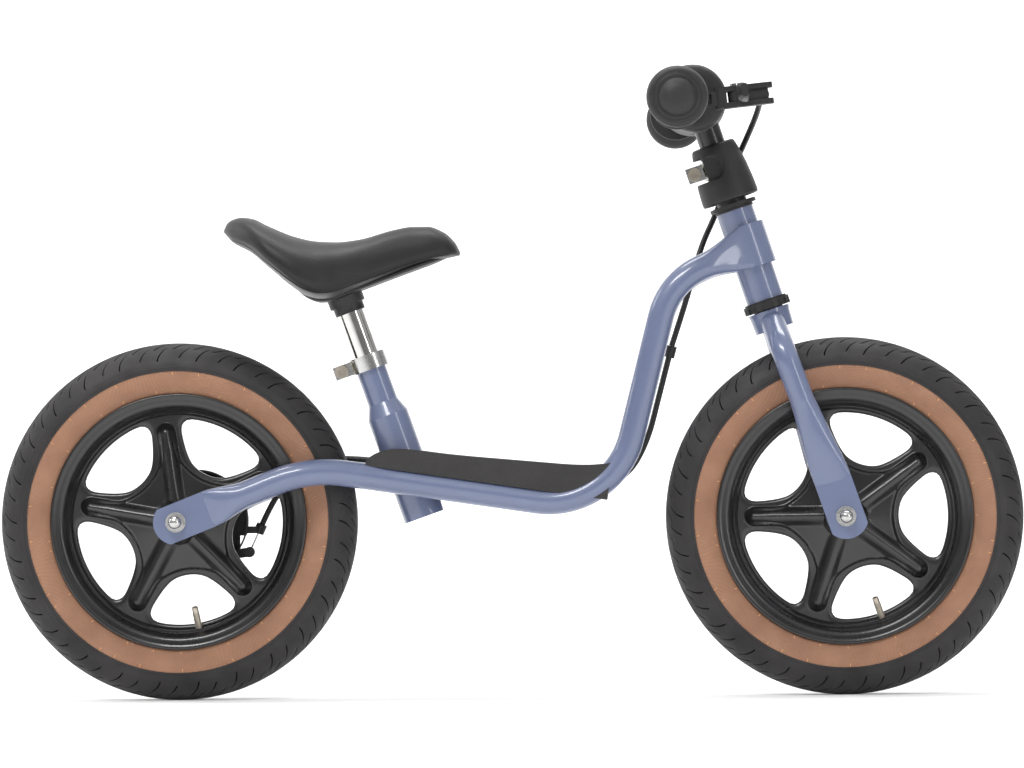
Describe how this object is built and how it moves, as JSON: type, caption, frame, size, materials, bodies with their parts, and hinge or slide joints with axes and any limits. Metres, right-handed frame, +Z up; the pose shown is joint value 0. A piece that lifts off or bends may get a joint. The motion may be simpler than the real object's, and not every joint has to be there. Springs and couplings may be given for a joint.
{
  "type": "balance bike",
  "caption": "Child's balance bike with a low double-tube frame, footboard, padded saddle, air-filled tyres on five-spoke rims and a hand-operated rear band brake.",
  "frame": {"origin": "on the ground in the middle plane, halfway between the axles, at the bottom centre of the bounding box", "axes": "+X forwards, +Y to the rider's left along the axles, +Z up"},
  "size_m": [0.8684, 0.418, 0.5354],
  "materials": {
    "frame_paint": "gloss slate-blue paint",
    "zinc": "bright zinc plate",
    "chrome": "polished chrome",
    "black_plastic": "fine satin texture",
    "grip_rubber": "soft matte",
    "black_paint": "satin black paint",
    "rim_plastic": "satin black",
    "tyre": "black tread with tan sidewalls",
    "tube_rubber": "plain",
    "saddle_vinyl": "fine-grained black vinyl",
    "cable_casing": "satin black",
    "black_metal": "satin black"
  },
  "bodies": {
    "frame": {"main_tube_right": "frame_paint", "main_tube_left": "frame_paint", "head_tube": "frame_paint", "seat_tube": "frame_paint", "frame_bridges": "frame_paint", "footboard": "black_plastic", "footboard_screws": "zinc", "cable_clip": "black_plastic", "seat_clamp": "zinc", "seat_clamp_bolt": "zinc", "seat_clamp_nut": "zinc", "headset_lower_cup": "black_plastic", "headset_upper_cup": "black_plastic", "rear_axle": "zinc", "rear_axle_nuts": "zinc", "rear_washers": "zinc", "rear_spacers": "zinc", "brake_cover": "black_plastic", "brake_cable_stop": "zinc", "brake_band": "zinc", "brake_wire": "zinc", "brake_cable_frame": "cable_casing", "brake_cable_loop": "cable_casing"},
    "fork": {"fork_steerer": "zinc", "fork_crown": "frame_paint", "fork_blade_right": "frame_paint", "fork_blade_left": "frame_paint", "stem_clamp": "zinc", "stem_clamp_bolt": "zinc", "stem_clamp_nut": "zinc", "clamp_cover": "black_plastic", "front_axle": "zinc", "front_axle_nuts": "zinc", "front_washers": "zinc", "front_spacers": "zinc"},
    "handlebar": {"handlebar_stem": "black_paint", "handlebar_crossbar": "black_paint", "handlebar_pad": "grip_rubber", "grip_right": "grip_rubber", "grip_left": "grip_rubber", "brake_bracket": "black_plastic", "bracket_screw": "zinc", "lever_pivot_pin": "zinc", "cable_adjuster": "black_metal", "brake_cable_bar": "cable_casing"},
    "brake_lever": {"brake_lever_blade": "black_plastic", "cable_nipple": "zinc"},
    "saddle": {"saddle_cover": "saddle_vinyl", "saddle_base": "black_plastic", "seat_post": "chrome"},
    "front_wheel": {"front_tyre": "tyre", "front_inner_tube": "tube_rubber", "front_rim": "rim_plastic", "front_bearings": "zinc"},
    "rear_wheel": {"rear_tyre": "tyre", "rear_inner_tube": "tube_rubber", "rear_rim": "rim_plastic", "rear_bearings": "zinc", "brake_drum": "zinc"},
    "brake_arm": {"brake_arm": "zinc"}
  },
  "joints": [
    {"name": "steering", "type": "hinge", "parent": "frame", "child": "fork", "pos_m": [0.21956, 0, 0.32692], "axis": [-0.3123, 0, 0.95], "range_deg": [-60, 60], "deforming": ["brake_cable_loop"]},
    {"name": "handlebar_height", "type": "slide", "parent": "fork", "child": "handlebar", "axis": [-0.3123, 0, 0.95], "range_m": [-0.01, 0.045], "deforming": ["brake_cable_bar"]},
    {"name": "brake_lever_pull", "type": "hinge", "parent": "handlebar", "child": "brake_lever", "pos_m": [0.19274, -0.0865, 0.50382], "axis": [0.1045, 0, -0.9945], "range_deg": [0, 20], "stiffness_Nm_per_rad": 0.4, "springref_deg": -17.19},
    {"name": "saddle_height", "type": "slide", "parent": "frame", "child": "saddle", "axis": [-0.3322, 0, 0.9432], "range_m": [-0.03, 0.04]},
    {"name": "front_wheel_spin", "type": "hinge", "parent": "fork", "child": "front_wheel", "pos_m": [0.2825, 0, 0.1515], "axis": [0, 1, 0], "continuous": true},
    {"name": "rear_wheel_spin", "type": "hinge", "parent": "frame", "child": "rear_wheel", "pos_m": [-0.2825, 0, 0.1515], "axis": [0, 1, 0], "continuous": true},
    {"name": "brake_arm_turn", "type": "hinge", "parent": "frame", "child": "brake_arm", "pos_m": [-0.2595, 0.0275, 0.1205], "axis": [0, -1, 0], "range_deg": [0, 14], "deforming": ["brake_wire"]}
  ],
  "couplings": [
    {"joint": "brake_arm_turn", "follows": "brake_lever_pull", "ratio": 0.697}
  ]
}
